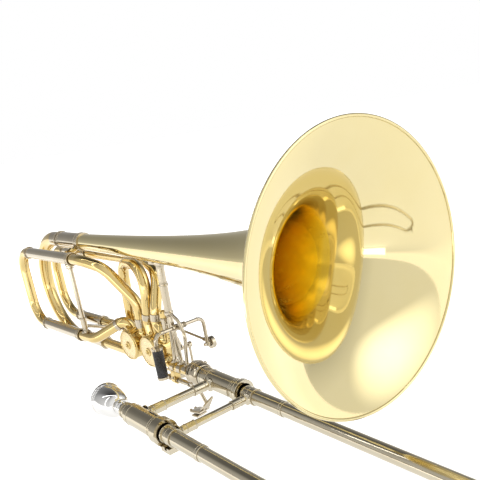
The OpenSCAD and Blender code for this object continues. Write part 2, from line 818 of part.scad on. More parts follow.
// Outer and inner outlines of the mouthpiece, measured from its rim.
cup_r = 19.8;
shank_r = 6.25;
cup_outer = concat(
  [for (a = [180 : -15 : 0]) [16.2 + 3.6 * cos(a), 3 - 3 * sin(a)]],
  [[19.3, 5.5], [18.4, 7]],
  [for (t = [0 : 0.1 : 1]) [7.4 + 11.4 * cos(90 * t), 9 + 27 * sin(90 * t)]],
  [[6.6, 38], [6.6, 41], [7.5, 42.5], [6.4, 44], [6.1, 48], [shank_r, 60], [shank_r, 78]]
);
cup_inner = concat(
  [[5.2, 78], [3.6, 40]],
  [for (t = [1 : -0.1 : 0]) [3.6 + 9.4 * cos(90 * t), 3 + 30 * sin(90 * t)]]
);

module mouthpiece() {
  color(silver) slide_frame() translate([rim_x, -slide_w, 0]) rotate([0, 90, 0])
    rotate_extrude($fn = 72) polygon(concat(cup_outer, cup_inner));
}

// ---- hand slide, outer ----

module outer_tubes() {
  color(nickel) slide_frame() for (y = [0, -slide_w])
    ring_x(outer_start, bow_x, y, 0, outer_r, outer_r - 0.65);
}

module outer_sleeves() {
  color(nickel) slide_frame() for (y = [0, -slide_w]) {
    ring_x(outer_start, outer_start + sleeve_len - 1.5, y, 0, sleeve_r, outer_r);
    ring_x(outer_start + sleeve_len - 1.5, outer_start + sleeve_len, y, 0, sleeve_r - 0.3, outer_r);
    ring_x(outer_brace_x - 8, outer_brace_x + 8, y, 0, sleeve_r + 1, sleeve_r);
    ring_x(bow_x - 14, bow_x + 1, y, 0, outer_r + 0.9, outer_r);
  }
}

module outer_brace() {
  color(nickel) slide_frame() cross_brace(outer_brace_x, sleeve_r + 1, 5.2, 4.2, 20);
}

module slide_bow() {
  color(nickel) slide_frame() difference() {
    union() {
      translate([bow_x, -slide_w / 2, 0]) rotate([0, 0, -90]) rotate_extrude(angle = 180)
        translate([slide_w / 2, 0]) difference() {
          circle(outer_r);
          circle(outer_r - 0.65);
        }
      for (s = [-1, 1]) translate([key_x - 8.5, s * 7 - slide_w / 2 - 1, outer_r - 2.5]) cube([12, 2, 7]);
      difference() {
        pipe([key_x - 12, -slide_w / 2, 2.5], [key_x - 12, -slide_w / 2, key_z - 0.05], 3.2);
        translate([bow_x, -slide_w / 2, 0]) rotate([0, 0, -90]) rotate_extrude(angle = 180)
          translate([slide_w / 2, 0]) circle(outer_r - 0.65);
      }
    }
    bar_y(key_x, -slide_w / 2 - 12, -slide_w / 2 + 12, key_z, 1.2 + fit);
  }
}

module bumper() {
  color(black) slide_frame() {
    x = bow_x + slide_w / 2;
    difference() {
      pipe([x, -slide_w / 2, 0], [x + outer_r + 8, -slide_w / 2, 0], 6);
      translate([bow_x, -slide_w / 2, 0]) rotate([0, 0, -90]) rotate_extrude(angle = 180)
        translate([slide_w / 2, 0]) circle(outer_r);
    }
  }
}

module water_key() {
  color(nickel) slide_frame() translate([key_x, -slide_w / 2, key_z]) {
    bar_y(0, -10, 10, 0, 1.2);
    bar_y(0, -5.8, 5.8, 0, 2.6);
    hull() {
      bar_y(0, -2, 2, 0, 2);
      translate([-12, 0, 2]) cylinder(h = 1.6, r = 4);
    }
    hull() {
      bar_y(0, -1.6, 1.6, 0, 1.6);
      translate([11, 0, 7]) sphere(1.6, $fn = 24);
    }
    translate([12, 0, 7.5]) cylinder(h = 1.6, r = 5);
  }
}

module key_cork() {
  color(black) slide_frame() translate([key_x - 12, -slide_w / 2, key_z]) cylinder(h = 2, r = 3.6);
}

bell();
rim_wire();
bell_tail_ferrule();
main_upper_leg();
main_lower_leg();
rear_branch();
neckpipe();
slide_receiver();
casing_1();
casing_2();
cap_1();
cap_2();
bearing_1();
bearing_2();
valve_link();
near_upper_tube();
near_lower_tube();
far_rise_tube();
far_fall_tube();
near_legs();
far_legs();
valve_ferrules();
bell_brace();
brace_posts();
hand_guard();
rear_brace();
leg_link();
shaft_bracket();
rotor_bumpers();
stop_barrel();
stop_knob();
main_crook();
main_inner_legs();
near_crook();
near_inner_legs();
far_crook();
far_inner_legs();
rotor_1();
rotor_2();
trigger_wire();
trigger_roller();
trigger_rod();
thumb_shaft();
thumb_paddle();
thumb_rod();
lock_nut();
inner_tubes();
cork_barrels();
inner_brace();
slide_plug();
lock_ring();
mouthpiece();
outer_tubes();
outer_sleeves();
outer_brace();
slide_bow();
bumper();
water_key();
key_cork();
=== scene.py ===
import bpy
import bmesh
import math
from mathutils import Matrix, Vector


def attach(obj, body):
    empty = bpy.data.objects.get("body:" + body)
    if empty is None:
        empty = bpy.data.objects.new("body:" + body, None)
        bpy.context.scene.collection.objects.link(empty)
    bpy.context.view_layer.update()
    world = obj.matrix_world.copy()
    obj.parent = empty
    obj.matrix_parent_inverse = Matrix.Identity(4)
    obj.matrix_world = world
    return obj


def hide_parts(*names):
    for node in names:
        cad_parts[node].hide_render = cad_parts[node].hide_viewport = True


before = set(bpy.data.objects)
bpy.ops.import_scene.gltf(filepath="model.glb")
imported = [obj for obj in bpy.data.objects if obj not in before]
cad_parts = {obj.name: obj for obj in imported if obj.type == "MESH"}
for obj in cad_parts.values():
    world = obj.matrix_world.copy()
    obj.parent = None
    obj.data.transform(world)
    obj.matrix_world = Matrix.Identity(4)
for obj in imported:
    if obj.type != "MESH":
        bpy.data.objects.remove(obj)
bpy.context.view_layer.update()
scene = bpy.context.scene


# ---------------------------------------------------------------- camera

CAMERA_AT = (0.69075, -0.39464, 0.29826)
CAMERA_RIGHT = Vector((0.64762, 0.74509, -0.15947))
CAMERA_LOOK = Vector((-0.75398, 0.59643, -0.27528))
CAMERA_LENS = 50.367
CAMERA_SHIFT = (-0.0710, 0.1239)


def make_camera():
    cam = bpy.data.objects.new("camera", bpy.data.cameras.new("camera"))
    scene.collection.objects.link(cam)
    right = CAMERA_RIGHT.normalized()
    look = CAMERA_LOOK.normalized()
    up = right.cross(look).normalized()
    rot = Matrix((right, up, -look)).transposed()
    cam.matrix_world = Matrix.Translation(CAMERA_AT) @ rot.to_4x4()
    cam.data.sensor_width = 36
    cam.data.lens = CAMERA_LENS
    cam.data.shift_x, cam.data.shift_y = CAMERA_SHIFT
    cam.data.clip_start = 0.02
    cam.data.clip_end = 30
    scene.camera = cam


# ---------------------------------------------------------------- materials

class Nodes:
    """Short way to build a node tree."""

    def __init__(self, name):
        self.mat = bpy.data.materials.new(name)
        self.mat.use_nodes = True
        self.nt = self.mat.node_tree
        self.nt.nodes.clear()
        self.out = self.nt.nodes.new("ShaderNodeOutputMaterial")
        self.bsdf = self.nt.nodes.new("ShaderNodeBsdfPrincipled")
        self.nt.links.new(self.bsdf.outputs[0], self.out.inputs[0])
        self.coord = self.nt.nodes.new("ShaderNodeTexCoord").outputs["Object"]

    def add(self, kind, **props):
        n = self.nt.nodes.new(kind)
        for k, v in props.items():
            setattr(n, k, v)
        return n

    def link(self, a, b):
        self.nt.links.new(a, b)

    def put(self, sock, v):
        if isinstance(v, bpy.types.NodeSocket):
            self.nt.links.new(v, sock)
        else:
            sock.default_value = v

    def scaled(self, sx, sy, sz):
        m = self.add("ShaderNodeMapping")
        m.inputs["Scale"].default_value = (sx, sy, sz)
        self.link(self.coord, m.inputs["Vector"])
        return m.outputs[0]

    def noise(self, scale, detail=4.0, rough=0.55, vec=None):
        n = self.add("ShaderNodeTexNoise")
        n.inputs["Scale"].default_value = scale
        n.inputs["Detail"].default_value = detail
        n.inputs["Roughness"].default_value = rough
        self.link(vec if vec is not None else self.coord, n.inputs["Vector"])
        return n.outputs[0]

    def voronoi(self, scale, vec=None):
        n = self.add("ShaderNodeTexVoronoi")
        n.inputs["Scale"].default_value = scale
        self.link(vec if vec is not None else self.coord, n.inputs["Vector"])
        return n.outputs[0]

    def remap(self, v, a, b, lo, hi):
        n = self.add("ShaderNodeMapRange")
        for i, x in enumerate((v, a, b, lo, hi)):
            self.put(n.inputs[i], x)
        return n.outputs[0]

    def math(self, op, a, b=0.0):
        n = self.add("ShaderNodeMath", operation=op)
        self.put(n.inputs[0], a)
        self.put(n.inputs[1], b)
        return n.outputs[0]

    def mix(self, f, a, b, blend="MIX"):
        n = self.add("ShaderNodeMix", data_type="RGBA", blend_type=blend)
        self.put(n.inputs[0], f)
        self.put(n.inputs[6], a)
        self.put(n.inputs[7], b)
        return n.outputs[2]

    def occlusion(self, distance):
        n = self.add("ShaderNodeAmbientOcclusion", samples=4)
        n.inputs["Distance"].default_value = distance
        return n.outputs["AO"]

    def bump(self, height, strength, distance):
        n = self.add("ShaderNodeBump")
        n.inputs["Strength"].default_value = strength
        n.inputs["Distance"].default_value = distance
        self.link(height, n.inputs["Height"])
        self.link(n.outputs[0], self.bsdf.inputs["Normal"])
        return n


def rgb(r, g, b):
    return (r, g, b, 1.0)


def metal(name, base, deep, rough=0.07, coat=0.0, crevice_shade=0.5, hair=1.0, tarnish=0.0, dull=None):
    """Polished metal: tint drift, smudges, hair scratches and painted shade darkening its crevices."""
    n = Nodes(name)
    drift = n.remap(n.noise(22, 3), 0.35, 0.68, 0.0, 1.0)
    col = n.mix(n.math("MULTIPLY", drift, 0.35), rgb(*base), rgb(*deep))
    if tarnish:
        spots = n.remap(n.noise(90, 6, 0.7), 0.60, 0.74, 0.0, tarnish)
        col = n.mix(spots, col, rgb(*(dull or deep)))
    # painted shade: ambient occlusion darkens the colour towards dark brown in crevices and gaps between
    # parts; the same mask also raises roughness there
    crevice = n.remap(n.occlusion(0.0035), 0.30, 0.85, 1.0, 0.0)
    col = n.mix(n.math("MULTIPLY", crevice, crevice_shade), col, rgb(deep[0] * 0.30, deep[1] * 0.27, deep[2] * 0.24))
    n.link(col, n.bsdf.inputs["Base Color"])
    n.bsdf.inputs["Metallic"].default_value = 1.0
    smudge = n.remap(n.noise(45, 5, 0.62), 0.45, 0.75, 0.0, 1.0)
    fine = n.remap(n.noise(700, 2), 0.3, 0.7, -0.5, 0.5)
    r = n.math("ADD", n.math("MULTIPLY", smudge, rough * 0.8), rough)
    r = n.math("ADD", r, n.math("MULTIPLY", fine, rough * 0.35))
    r = n.math("ADD", r, n.math("MULTIPLY", crevice, 0.25))
    n.link(r, n.bsdf.inputs["Roughness"])
    if coat:
        n.bsdf.inputs["Coat Weight"].default_value = coat
        n.bsdf.inputs["Coat Roughness"].default_value = 0.03
    scratch = n.noise(1.0, 2, 0.5, n.scaled(60, 2600, 2600))
    wave = n.noise(14, 2, 0.4)
    h = n.math("ADD", n.math("MULTIPLY", scratch, 0.15 * hair), wave)
    n.bump(h, 0.10, 0.0006)
    return n.mat


def make_materials():
    m = {}
    m["brass"] = metal("lacquered_brass", (0.72, 0.55, 0.24), (0.62, 0.44, 0.15), 0.05, 0.15, 0.6, 1.0,
                       0.25, (0.62, 0.36, 0.12))
    m["bell"] = metal("bell_brass", (0.77, 0.665, 0.37), (0.75, 0.63, 0.31), 0.04, 0.05, 0.3, 0.5)
    # painted light: a brighter, deeper gold copy of the bell brass stands in for light bouncing inside the
    # bell's throat
    m["throat"] = metal("throat_brass_painted_bounce", (0.92, 0.78, 0.24), (0.88, 0.71, 0.17), 0.17, 0.0, 0.3, 2.0)
    m["nickel"] = metal("nickel_silver", (0.56, 0.49, 0.37), (0.46, 0.39, 0.27), 0.075, 0.15, 0.7, 1.0,
                        0.35, (0.42, 0.33, 0.22))
    m["slide"] = metal("slide_nickel", (0.62, 0.56, 0.43), (0.52, 0.45, 0.32), 0.06, 0.0, 0.6, 1.4,
                       0.20, (0.50, 0.42, 0.30))
    m["silver"] = metal("silver_plate", (0.84, 0.83, 0.81), (0.72, 0.70, 0.66), 0.035, 0.0, 0.4, 0.5)
    m["cap"] = cap_metal()
    m["roller"] = roller_material()
    m["cork"] = cork_material()
    m["rubber"] = rubber_material()
    m["felt"] = make_felt()
    return m


def cap_metal():
    """Stippled satin cap: a field of tiny punched dots."""
    n = Nodes("cap_stippled_brass")
    dots = n.voronoi(1500)
    n.link(n.mix(n.remap(dots, 0.0, 0.5, 0.0, 1.0), rgb(0.60, 0.43, 0.20), rgb(0.88, 0.72, 0.42)),
           n.bsdf.inputs["Base Color"])
    n.bsdf.inputs["Metallic"].default_value = 1.0
    n.link(n.remap(n.noise(120, 4), 0.3, 0.7, 0.20, 0.36), n.bsdf.inputs["Roughness"])
    n.bump(dots, 0.5, 0.0004)
    return n.mat


def roller_material():
    n = Nodes("roller_black")
    n.link(n.mix(n.noise(160, 4), rgb(0.006, 0.006, 0.006), rgb(0.022, 0.021, 0.020)),
           n.bsdf.inputs["Base Color"])
    n.link(n.remap(n.noise(220, 4), 0.3, 0.7, 0.16, 0.34), n.bsdf.inputs["Roughness"])
    n.bump(n.noise(900, 3), 0.08, 0.0003)
    return n.mat


def cork_material():
    n = Nodes("cork")
    grain = n.voronoi(900)
    n.link(n.mix(n.remap(grain, 0.0, 0.5, 0, 1), rgb(0.16, 0.08, 0.035), rgb(0.42, 0.25, 0.12)),
           n.bsdf.inputs["Base Color"])
    n.bsdf.inputs["Roughness"].default_value = 0.85
    n.bump(grain, 0.5, 0.0005)
    return n.mat


def rubber_material():
    n = Nodes("buffer_rubber")
    n.link(n.mix(n.noise(300, 4), rgb(0.012, 0.011, 0.010), rgb(0.045, 0.040, 0.036)),
           n.bsdf.inputs["Base Color"])
    n.link(n.remap(n.noise(150, 4), 0.3, 0.7, 0.45, 0.7), n.bsdf.inputs["Roughness"])
    n.bump(n.noise(1200, 3), 0.2, 0.0004)
    return n.mat


KINDS = {
    "bell": "bell rim_wire",
    "brass": "rear_branch neckpipe casing_1 casing_2 valve_link near_upper_tube near_lower_tube "
             "far_rise_tube far_fall_tube leg_link shaft_bracket stop_knob main_crook near_crook far_crook",
    "cap": "cap_1 cap_2",
    "slide": "inner_tubes outer_tubes outer_sleeves slide_bow cork_barrels inner_brace outer_brace "
             "slide_plug lock_ring water_key",
    "silver": "mouthpiece",
    "roller": "trigger_roller",
    "cork": "key_cork",
    "rubber": "bumper rotor_bumpers",
}


def dress_cad(mats):
    """Gives every carried-over CAD node its material."""
    kind_of = {node: kind for kind, names in KINDS.items() for node in names.split()}
    for name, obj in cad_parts.items():
        mat = mats[kind_of.get(name, "nickel")]
        if not obj.material_slots:
            obj.data.materials.append(mat)
        for s in obj.material_slots:
            s.material = mat


# ---------------------------------------------------------------- shapes (all lengths in millimetres)

X = Vector((1, 0, 0))
Y = Vector((0, 1, 0))
Z = Vector((0, 0, 1))
SLIDE_TILT = math.radians(3)
SLIDE = Vector((math.cos(SLIDE_TILT), 0, -math.sin(SLIDE_TILT)))
SLIDE_Y = (0, -107)
BELL_MOUTH = 316.5
BELL_Z = 155.5
NEAR_Y = -35
FAR_Y = 31
NEAR_Z = (25, 141)
FAR_Z = (14, 126.5)
ROTOR_X = (-61, -115)
ROTOR_Z = 21


def on_slide(x, y, z=0.0):
    """A point given in the hand slide's own frame."""
    up = Vector((math.sin(SLIDE_TILT), 0, math.cos(SLIDE_TILT)))
    return Vector((43, 0, 0)) + SLIDE * x + Vector((0, y, 0)) + up * z


def finish_mesh(name, verts, faces, mat, body, slot, replaced=(), sharp=32):
    mesh = bpy.data.meshes.new(name)
    mesh.from_pydata([tuple(c * 0.001 for c in v) for v in verts], [], faces)
    mesh.update()
    bm = bmesh.new()
    bm.from_mesh(mesh)
    bmesh.ops.remove_doubles(bm, verts=bm.verts, dist=1e-7)
    bmesh.ops.recalc_face_normals(bm, faces=bm.faces)
    bm.to_mesh(mesh)
    bm.free()
    mesh.shade_smooth()
    mesh.set_sharp_from_angle(angle=math.radians(sharp))
    mesh.materials.append(mat)
    obj = bpy.data.objects.new(name, mesh)
    scene.collection.objects.link(obj)
    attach(obj, body)
    if replaced:
        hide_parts(*replaced)
    return obj


def basis(axis):
    w = Vector(axis).normalized()
    u = w.orthogonal().normalized() if abs(w.z) > 0.9 else Vector((0, 0, 1)).cross(w).normalized()
    return u, w.cross(u), w


def lathe_mesh(profile, at, axis, seg=72, wave=None, closed=True):
    """A profile of (radius, distance) turned about an axis; wave(angle, radius, distance) adds to radius."""
    u, v, w = basis(axis)
    at = Vector(at)
    verts, faces = [], []
    n = len(profile)
    for j in range(seg):
        a = 2 * math.pi * j / seg
        c, s = math.cos(a), math.sin(a)
        for r, h in profile:
            rr = r + (wave(a, r, h) if wave else 0.0)
            verts.append(at + w * h + (u * c + v * s) * max(rr, 0.0))
    last = n if closed else n - 1
    for j in range(seg):
        k = (j + 1) % seg
        for i in range(last):
            m = (i + 1) % n
            quad = [j * n + i, k * n + i, k * n + m, j * n + m]
            if profile[i][0] <= 0 and profile[m][0] <= 0:
                continue
            if profile[i][0] <= 0:
                quad = [quad[0], quad[2], quad[3]]
            elif profile[m][0] <= 0:
                quad = [quad[0], quad[1], quad[2]]
            faces.append(quad)
    return verts, faces


def sweep_mesh(path, radius, wall=0.0, seg=32):
    """A tube along a path; radius is a number or a function of the fraction of its length."""
    dist = [0.0]
    for a, b in zip(path, path[1:]):
        dist.append(dist[-1] + (b - a).length)
    total = dist[-1]
    get = radius if callable(radius) else (lambda t: radius)
    tangents = []
    for i in range(len(path)):
        a = path[max(i - 1, 0)]
        b = path[min(i + 1, len(path) - 1)]
        tangents.append((b - a).normalized())
    u = basis(tangents[0])[0]
    rings = []
    for i, p in enumerate(path):
        if i:
            u = tangents[i - 1].rotation_difference(tangents[i]) @ u
        u = (u - tangents[i] * u.dot(tangents[i])).normalized()
        v = tangents[i].cross(u)
        rings.append((p, u, v, get(dist[i] / total)))
    layers = [0.0] if not wall else [0.0, wall]
    verts, faces = [], []
    for inset in layers:
        for p, uu, vv, r in rings:
            for j in range(seg):
                a = 2 * math.pi * j / seg
                verts.append(p + (uu * math.cos(a) + vv * math.sin(a)) * (r - inset))
    n = len(rings)
    for layer in range(len(layers)):
        base = layer * n * seg
        for i in range(n - 1):
            for j in range(seg):
                k = (j + 1) % seg
                a = base + i * seg
                q = [a + j, a + k, a + seg + k, a + seg + j]
                faces.append(q if layer == 0 else q[::-1])
    if wall:
        off = n * seg
        for i in (0, n - 1):
            for j in range(seg):
                k = (j + 1) % seg
                faces.append([i * seg + j, i * seg + k, off + i * seg + k, off + i * seg + j])
    else:
        faces.append([j for j in range(seg)][::-1])
        faces.append([(n - 1) * seg + j for j in range(seg)])
    return verts, faces


def helix(at, axis, r, pitch, turns, wire, per=22):
    u, v, w = basis(axis)
    at = Vector(at)
    path = []
    for i in range(int(turns * per) + 1):
        a = 2 * math.pi * i / per
        path.append(at + w * (pitch * i / per) + (u * math.cos(a) + v * math.sin(a)) * r)
    return sweep_mesh(path, wire, 0.0, 10)


class Group:
    """Collects several small shapes into one piece."""

    def __init__(self):
        self.verts, self.faces = [], []

    def add(self, shape):
        off = len(self.verts)
        self.verts += shape[0]
        self.faces += [[i + off for i in f] for f in shape[1]]
        return self

    def ring(self, at, axis, r, half, width):
        """A half-round turned bead around a tube of radius r."""
        prof = [(r - 0.25, -width / 2)]
        for k in range(9):
            a = math.pi * k / 8
            prof.append((r + half * math.sin(a), -width / 2 * math.cos(a)))
        prof += [(r - 0.25, width / 2)]
        return self.add(lathe_mesh(prof, at, axis, 64))

    def collar(self, at, axis, r, flare, length):
        """A concave solder flange where a rod of radius r meets a tube."""
        prof = [(0.0, -1.2), (r + flare, -1.2)]
        prof += [(r + flare * (1 - math.sin(math.pi / 2 * k / 6)) ** 1.6, length * k / 6) for k in range(7)]
        prof += [(0.0, length)]
        return self.add(lathe_mesh(prof, at, axis, 40, closed=False))

    def screw(self, at, axis, r, h):
        """A domed screw head with a slot."""
        u, v, w = basis(axis)
        at = Vector(at)
        verts, faces = [], []
        seg, rows = 36, 7
        for i in range(rows + 1):
            t = i / rows
            rr = r * (1.0 if i < 2 else math.cos((t - 1 / rows) * math.pi / 2 * 0.97))
            hh = -0.8 if i == 0 else h * (0.55 + 0.45 * math.sin((t - 1 / rows) * math.pi / 2))
            for j in range(seg):
                a = 2 * math.pi * j / seg
                x, y = rr * math.cos(a), rr * math.sin(a)
                drop = 0.45 * h if i >= 2 and abs(y) < r * 0.16 else 0.0
                verts.append(at + u * x + v * y + w * (hh - drop))
        for i in range(rows):
            for j in range(seg):
                k = (j + 1) % seg
                faces.append([i * seg + j, i * seg + k, (i + 1) * seg + k, (i + 1) * seg + j])
        faces.append([rows * seg + j for j in range(seg)])
        faces.append([j for j in range(seg)][::-1])
        return self.add((verts, faces))

    def make(self, name, mat, body, slot, replaced=(), sharp=32):
        return finish_mesh(name, self.verts, self.faces, mat, body, slot, replaced, sharp)


# ---------------------------------------------------------------- bell and main crook

def horn_radius(d):
    return 125.7 * (35.0 / (d + 35.0)) ** 0.859


def make_bell(mats):
    steps = 190
    length = 535.5
    throat_depth = 95
    outer, inner = [], []
    for i in range(steps + 1):
        d = length * (i / steps) ** 2.2
        outer.append((horn_radius(d), -d))
        inner.append((horn_radius(d) - 0.9, -d))
    rim = []
    for k in range(0, 15):
        a = math.radians(-60 + 300 * k / 14)
        rim.append((125.5 - 1.5 * math.cos(a), 1.5 * math.sin(a)))
    profile = outer[::-1][:-1] + rim[::-1] + inner[1:]
    g = Group().add(lathe_mesh(profile, (BELL_MOUTH, 0, BELL_Z), X, 256))
    shell = g.make("bell_shell", mats["bell"], "bell_section", "lacquered_brass", ("bell", "rim_wire"), 50)
    # faces deep inside the bell take the throat colour, painted bounce light
    shell.data.materials.append(mats["throat"])
    for face in shell.data.polygons:
        c = face.center * 1000
        depth = BELL_MOUTH - c.x
        if depth > throat_depth and math.hypot(c.y, c.z - BELL_Z) < horn_radius(depth) - 0.4:
            face.material_index = 1


def make_main_crook(mats):
    path = []
    for i in range(97):
        a = math.pi * i / 96
        path.append(Vector((-319 - 77.75 * math.sin(a), 0, 77.75 + 77.75 * math.cos(a))))
    shape = sweep_mesh(path, lambda t: 11.0 - 3.0 * t, 0.8, 48)
    finish_mesh("main_crook_tube", *shape, mats["brass"], "main_slide", "lacquered_brass",
                ("main_crook",), 50)


# ---------------------------------------------------------------- fine parts

def make_caps(mats):
    """Rotor caps: notched edge, raised lip, stippled face and a slotted centre screw."""
    for k, x in enumerate(ROTOR_X):
        at = (x, -15.5, ROTOR_Z)

        def notch(a, r, h):
            return 0.16 * math.cos(96 * a) if r > 21 else 0.0

        edge = Group().add(lathe_mesh(
            [(12, 0.1), (21.1, 0.1), (21.4, 0.4), (21.4, 1.2), (20.7, 1.5), (20.4, 2.9), (20.1, 3.4),
             (19.6, 3.6), (19.0, 3.5), (18.5, 3.0), (18.2, 2.4), (12, 2.4)], at, -Y, 384, notch))
        edge.add(lathe_mesh(
            [(5.6, 2.6), (5.6, 3.6), (5.3, 4.2), (4.6, 4.5), (3.0, 4.6), (3.0, 2.6)], at, -Y, 72))
        edge.screw((x, -20.2, ROTOR_Z), -Y, 2.9, 1.6)
        edge.make(f"cap_edge_{k + 1}", mats["brass"], "bell_section", "cap_brass", (f"cap_{k + 1}",), 28)
        face = Group().add(lathe_mesh(
            [(5.2, 2.7), (5.2, 3.1), (17.9, 3.1), (18.6, 2.9), (18.6, 2.6)], at, -Y, 96))
        face.make(f"cap_face_{k + 1}", mats["cap"], "bell_section", "cap_brass")


def mouthpiece_profile():
    outer = []
    for k in range(25):
        a = math.radians(180 - 180 * k / 24)
        outer.append((16.2 + 3.6 * math.cos(a), 3 - 3 * math.sin(a)))
    outer += [(19.5, 4.4), (19.0, 5.4), (18.7, 5.8), (18.9, 6.2), (18.9, 6.9), (18.5, 7.3)]
    for k in range(31):
        a = math.pi / 2 * k / 30
        outer.append((7.4 + 11.0 * math.cos(a) ** 0.92, 8.4 + 27.6 * math.sin(a)))
    outer += [(7.0, 36.6), (7.1, 37.2), (7.9, 37.8), (8.1, 38.6), (7.9, 39.3), (7.0, 39.9), (6.8, 41.0)]
    outer += [(7.5, 41.5), (7.6, 42.3), (7.2, 43.0), (6.5, 43.5), (6.2, 45.0), (6.1, 48), (6.25, 60)]
    outer.append((6.25, 78))
    inner = [(5.2, 78), (4.4, 60), (3.8, 44), (3.6, 38)]
    for k in range(24, -1, -1):
        a = math.pi / 2 * k / 24
        inner.append((3.6 + 9.2 * math.cos(a), 3 + 31 * math.sin(a)))
    return outer + inner


def make_mouthpiece(mats):
    g = Group().add(lathe_mesh(mouthpiece_profile(), on_slide(-62, SLIDE_Y[1]), SLIDE, 128))
    g.make("mouthpiece_turned", mats["silver"], "mouthpiece_body", "silver_plate", ("mouthpiece",), 40)


def make_roller(mats):
    def rib(a, r, h):
        return 0.12 * math.cos(30 * a) if 1.5 < h < 33.5 and r > 6 else 0.0

    prof = [(2.3, 0), (5.9, 0), (6.4, 0.5)] + [(6.5, 1.2 + 32.6 * k / 30) for k in range(31)]
    prof += [(6.4, 34.5), (5.9, 35), (2.3, 35)]
    g = Group().add(lathe_mesh(prof, (-10, -32, 3), Z, 240, rib))
    g.make("roller_ribbed", mats["roller"], "finger_roller", "roller_black", ("trigger_roller",), 40)


def make_beads(mats):
    """Turned beads at the ends of the legs and ferrules, and solder flanges at the brace feet."""
    g = Group()
    leg_starts = [(-222, NEAR_Y, NEAR_Z[0]), (-192, NEAR_Y, NEAR_Z[1])]
    leg_starts += [(-287, FAR_Y, z) for z in FAR_Z]
    for x, y, z in leg_starts:
        for dx in (-2.4, 2.4):
            g.ring((x + dx, y, z), X, 9.0, 0.45, 1.1)
        g.ring((x - 7, y, z), X, 8.2, 0.35, 0.8)
    for x, y, heights in ((-346.2, NEAR_Y, NEAR_Z), (-371.2, FAR_Y, FAR_Z)):
        for z in heights:
            g.ring((x, y, z), X, 9.1, 0.5, 1.3)
            g.ring((x + 6, y, z), X, 8.2, 0.3, 0.7)
    for x, r, h in ((-295.0, 13, 0.5), (-290, 12, 0.5), (-286, 12, 0.35), (-228.5, 12.0, 0.7),
                    (-226, 13, 0.5), (-217, 13, 0.5), (-221.5, 13, 0.3)):
        g.ring((x, 0, BELL_Z), X, r, h, 1.5)
    for x, r, h in ((-295.2, 9.9, 0.4), (-290, 9.0, 0.4), (-229, 9.0, 0.5), (-224, 9.8, 0.4)):
        g.ring((x, 0, 0), X, r, h, 1.2)
    for a in (-90.4, -85.6):
        g.ring((a, 0, 5.8), X, 8.4, 0.35, 0.9)
    g.collar((-17.3, 0, 139.6), -Z, 5.0, 4.2, 8)
    g.ring((-18.6, 0, 110.5), Vector((3, 0, 81.5)), 5.7, 0.6, 2.2)
    g.ring((-18.6, 0, 114.0), Vector((3, 0, 81.5)), 5.0, 0.4, 1.0)
    g.collar((-30.0, 0, 8.2), Vector((10, 0, 72)), 3.1, 2.4, 5)
    g.collar((-15.0, 0, 8.2), Vector((-4.5, 0, 72)), 3.1, 2.4, 5)
    g.collar((-2.0, 0, 8.2), Vector((2, 0, 10)), 2.3, 2.2, 4)
    g.collar((-204, NEAR_Y, 132.2), -Z, 3.3, 3.0, 5)
    g.collar((-204, NEAR_Y, 33.5), Z, 3.3, 3.0, 5)
    for z in (39, 53, 127.5, 134.5):
        g.ring((-204, NEAR_Y, z), Z, 4.6 if z < 60 else 5.0, 0.4, 1.0)
    g.make("turned_beads", mats["nickel"], "bell_section", "nickel_silver")

    s = Group()
    for y in SLIDE_Y:
        for x in (52, 55, 8):
            s.ring(on_slide(x, y), SLIDE, 12.0, 0.4, 1.0)
    for y, sign in ((-12, -1), (-95, 1)):
        s.collar(on_slide(14.6, y), Y * sign, 6.0, 3.0, 4)
        for t in (21.4, 7):
            s.ring(on_slide(14.6, y + sign * t), Y, 6.0, 0.35, 1.0)
    for x in (61.6, 67.2):
        s.ring(on_slide(x, 0), SLIDE, 14.2, 0.5, 1.3)
    for x, r in ((-12.2, 8.8), (-9.8, 9.3), (-5.0, 8.9)):
        s.ring(on_slide(x, SLIDE_Y[1]), SLIDE, r, 0.4, 0.9)
    s.make("inner_slide_beads", mats["slide"], "inner_slide", "slide_nickel")

    o = Group()
    for y in SLIDE_Y:
        for x, r, h in ((136.9, 8.2, 0.5), (133.5, 8.5, 0.3), (74.0, 9.5, 0.45), (89.0, 9.5, 0.45),
                        (81.5, 9.5, 0.25), (686.2, 8.7, 0.4), (701.6, 8.7, 0.4), (694, 8.7, 0.25)):
            o.ring(on_slide(x, y), SLIDE, r, h, 1.1)
    for y, sign in ((-9.5, -1), (-97.5, 1)):
        o.collar(on_slide(81.5, y), Y * sign, 5.2, 2.4, 4)
        for t in (8, 19.4):
            o.ring(on_slide(81.5, y + sign * t), Y, 5.2, 0.35, 1.0)
    o.make("outer_slide_beads", mats["slide"], "outer_slide", "slide_nickel")


